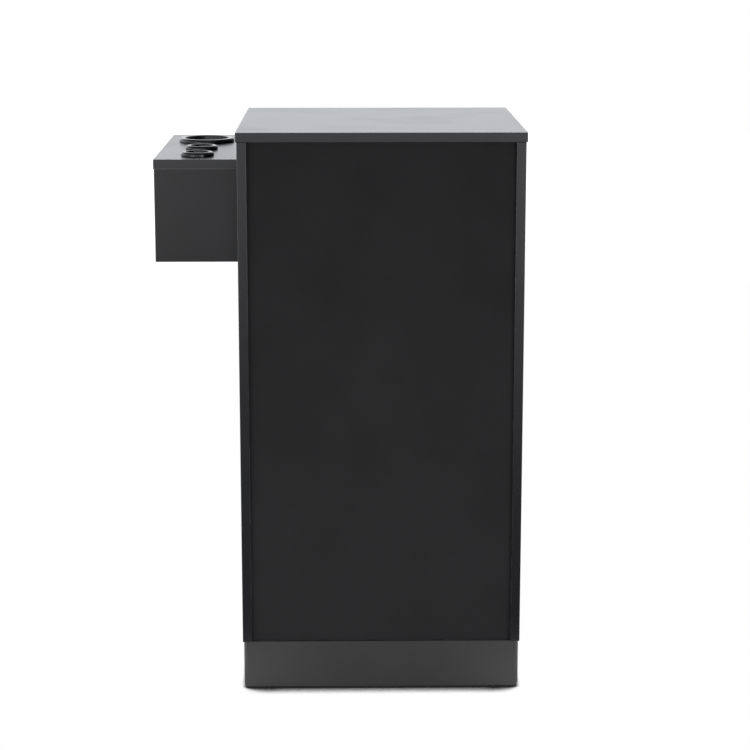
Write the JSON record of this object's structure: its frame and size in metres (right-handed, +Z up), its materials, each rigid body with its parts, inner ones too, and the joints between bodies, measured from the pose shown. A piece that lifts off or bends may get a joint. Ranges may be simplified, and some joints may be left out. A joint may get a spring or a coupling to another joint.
{
  "type": "salon styling station cabinet",
  "caption": "Tall laminated salon cabinet on a plinth with drawers over a locking door and a side box with rings that hold a hair dryer and irons.",
  "frame": {"origin": "floor level, under the middle of the whole object's outline", "axes": "+Z up, -Y towards the drawer fronts, +X towards the tool holder"},
  "size_m": [0.578, 0.483, 0.9],
  "materials": {
    "black_laminate": "satin melamine",
    "grey_laminate": "satin metallic foil",
    "black_hardboard": "matte lacquer",
    "drawer_board": "matte melamine",
    "gloss_black": "gloss",
    "zinc_steel": "zinc plated",
    "satin_aluminium": "satin",
    "satin_chrome": "satin",
    "black_nylon": "matte"
  },
  "bodies": {
    "cabinet": {"top_panel": "black_laminate", "left_side_panel": "black_laminate", "right_side_panel": "black_laminate", "bottom_panel": "black_laminate", "divider_panel": "black_laminate", "top_rails": "black_laminate", "adjustable_shelf": "black_laminate", "holder_top": "black_laminate", "holder_rear_board": "black_laminate", "holder_front_board": "black_laminate", "holder_outer_board": "black_laminate", "holder_inner_board": "black_laminate", "holder_floor": "black_laminate", "plinth_front_board": "grey_laminate", "plinth_rear_board": "grey_laminate", "plinth_end_boards": "grey_laminate", "dryer_ring": "gloss_black", "iron_rings": "gloss_black", "floor_glides": "black_nylon", "magnetic_catch": "black_nylon", "back_panel": "black_hardboard", "shelf_pins": "zinc_steel", "fitting_cams": "zinc_steel", "fitting_bolts": "zinc_steel", "cabinet_rails": "zinc_steel", "holder_bolts": "zinc_steel", "hinge_plates": "zinc_steel", "hinge_arms": "zinc_steel", "lock_strike": "zinc_steel"},
    "door": {"door_panel": "black_laminate", "door_handle": "satin_aluminium", "hinge_cups": "zinc_steel", "hinge_pins": "zinc_steel", "catch_keeper": "zinc_steel", "lock_barrel": "satin_chrome", "lock_nut": "zinc_steel"},
    "lock": {"lock_plug": "satin_chrome", "lock_cam": "zinc_steel"},
    "drawer_1": {"drawer_1_front": "black_laminate", "drawer_1_sides": "drawer_board", "drawer_1_back": "drawer_board", "drawer_1_bottom": "black_hardboard", "drawer_1_handle": "satin_aluminium", "drawer_1_rails": "zinc_steel"},
    "drawer_1_slide_middle": {"drawer_1_middle_rails": "zinc_steel"},
    "drawer_2": {"drawer_2_front": "black_laminate", "drawer_2_sides": "drawer_board", "drawer_2_back": "drawer_board", "drawer_2_bottom": "black_hardboard", "drawer_2_handle": "satin_aluminium", "drawer_2_rails": "zinc_steel"},
    "drawer_2_slide_middle": {"drawer_2_middle_rails": "zinc_steel"},
    "drawer_3": {"drawer_3_front": "black_laminate", "drawer_3_sides": "drawer_board", "drawer_3_back": "drawer_board", "drawer_3_bottom": "black_hardboard", "drawer_3_handle": "satin_aluminium", "drawer_3_rails": "zinc_steel"},
    "drawer_3_slide_middle": {"drawer_3_middle_rails": "zinc_steel"}
  },
  "joints": [
    {"name": "drawer_1_slide", "type": "slide", "parent": "cabinet", "child": "drawer_1", "axis": [0, -1, 0], "range_m": [0, 0.35]},
    {"name": "drawer_1_middle_slide", "type": "slide", "parent": "cabinet", "child": "drawer_1_slide_middle", "axis": [0, -1, 0], "range_m": [0, 0.175]},
    {"name": "drawer_2_slide", "type": "slide", "parent": "cabinet", "child": "drawer_2", "axis": [0, -1, 0], "range_m": [0, 0.35]},
    {"name": "drawer_2_middle_slide", "type": "slide", "parent": "cabinet", "child": "drawer_2_slide_middle", "axis": [0, -1, 0], "range_m": [0, 0.175]},
    {"name": "drawer_3_slide", "type": "slide", "parent": "cabinet", "child": "drawer_3", "axis": [0, -1, 0], "range_m": [0, 0.35]},
    {"name": "drawer_3_middle_slide", "type": "slide", "parent": "cabinet", "child": "drawer_3_slide_middle", "axis": [0, -1, 0], "range_m": [0, 0.175]},
    {"name": "door_swing", "type": "hinge", "parent": "cabinet", "child": "door", "pos_m": [-0.277, -0.2005, 0.268], "axis": [0, 0, -1], "range_deg": [0, 100]},
    {"name": "lock_turn", "type": "hinge", "parent": "door", "child": "lock", "pos_m": [0.122, -0.2065, 0.393], "axis": [0, -1, 0], "range_deg": [0, 90]}
  ],
  "couplings": [
    {"joint": "drawer_1_middle_slide", "follows": "drawer_1_slide", "ratio": 0.5},
    {"joint": "drawer_2_middle_slide", "follows": "drawer_2_slide", "ratio": 0.5},
    {"joint": "drawer_3_middle_slide", "follows": "drawer_3_slide", "ratio": 0.5}
  ]
}
